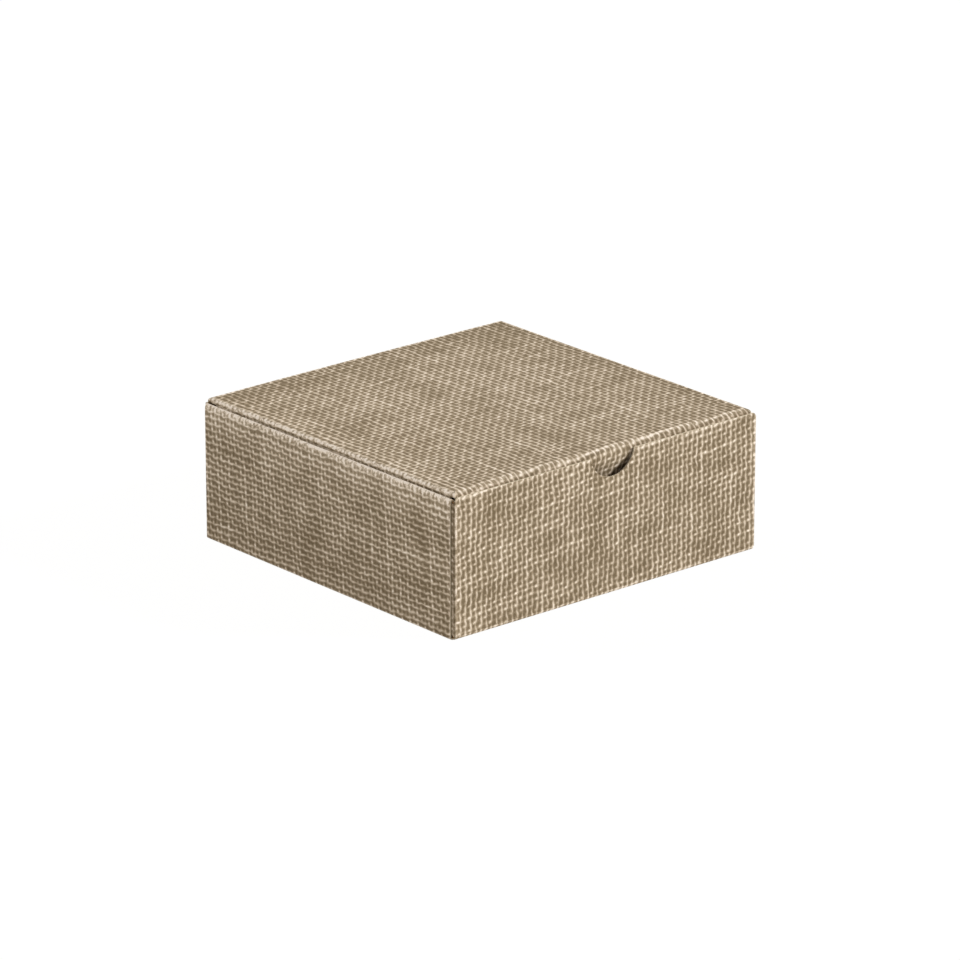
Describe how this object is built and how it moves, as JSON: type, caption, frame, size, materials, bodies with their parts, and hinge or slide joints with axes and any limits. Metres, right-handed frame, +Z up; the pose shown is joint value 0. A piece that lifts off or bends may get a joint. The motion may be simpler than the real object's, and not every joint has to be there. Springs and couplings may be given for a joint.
{
  "type": "folding gift box",
  "caption": "Squat, nearly square folding carton with a hinged tuck lid, rolled side walls and a half-moon finger notch, printed all over with a plain woven jute pattern.",
  "frame": {"origin": "middle of the underside, on the surface the box stands on", "axes": "+X to the box's right, +Y to the hinge side at the back, +Z up; the finger notch faces -Y"},
  "size_m": [0.15, 0.145, 0.0564],
  "materials": {
    "printed_board": "matt printed paper face",
    "creased_board": "matt printed paper face, stretched over a crease",
    "bare_board": "uncoated kraft"
  },
  "bodies": {
    "base": {"bottom_panel": "bare_board", "front_bottom_fold": "creased_board", "back_bottom_fold": "creased_board", "left_bottom_fold": "creased_board", "right_bottom_fold": "creased_board", "front_wall": "printed_board", "back_wall": "printed_board", "front_left_corner_fold": "creased_board", "front_right_corner_fold": "creased_board", "back_left_corner_fold": "creased_board", "back_right_corner_fold": "creased_board", "front_left_corner_flap": "printed_board", "front_right_corner_flap": "printed_board", "back_left_corner_flap": "printed_board", "back_right_corner_flap": "printed_board", "left_outer_wall": "printed_board", "right_outer_wall": "printed_board", "left_rolled_edge": "creased_board", "right_rolled_edge": "creased_board", "left_inner_wall": "printed_board", "right_inner_wall": "printed_board"},
    "lid": {"lid_hinge_fold": "creased_board", "lid_panel": "printed_board", "lid_front_fold": "creased_board", "lid_left_fold": "creased_board", "lid_right_fold": "creased_board"},
    "tuck_flap": {"tuck_flap": "printed_board"},
    "left_lid_flap": {"left_lid_flap": "printed_board"},
    "right_lid_flap": {"right_lid_flap": "printed_board"}
  },
  "joints": [
    {"name": "lid_hinge", "type": "hinge", "parent": "base", "child": "lid", "pos_m": [0, 0.07218, 0.05608], "axis": [-1, 0, 0], "range_deg": [0, 180], "deforming": ["lid_hinge_fold"]},
    {"name": "tuck_flap_fold", "type": "hinge", "parent": "lid", "child": "tuck_flap", "pos_m": [0, -0.07058, 0.05588], "axis": [1, 0, 0], "range_deg": [0, 45], "deforming": ["lid_front_fold"]},
    {"name": "left_lid_flap_fold", "type": "hinge", "parent": "lid", "child": "left_lid_flap", "pos_m": [-0.07248, 0, 0.05608], "axis": [0, -1, 0], "range_deg": [0, 45], "deforming": ["lid_left_fold"]},
    {"name": "right_lid_flap_fold", "type": "hinge", "parent": "lid", "child": "right_lid_flap", "pos_m": [0.07248, 0, 0.05608], "axis": [0, 1, 0], "range_deg": [0, 45], "deforming": ["lid_right_fold"]}
  ]
}
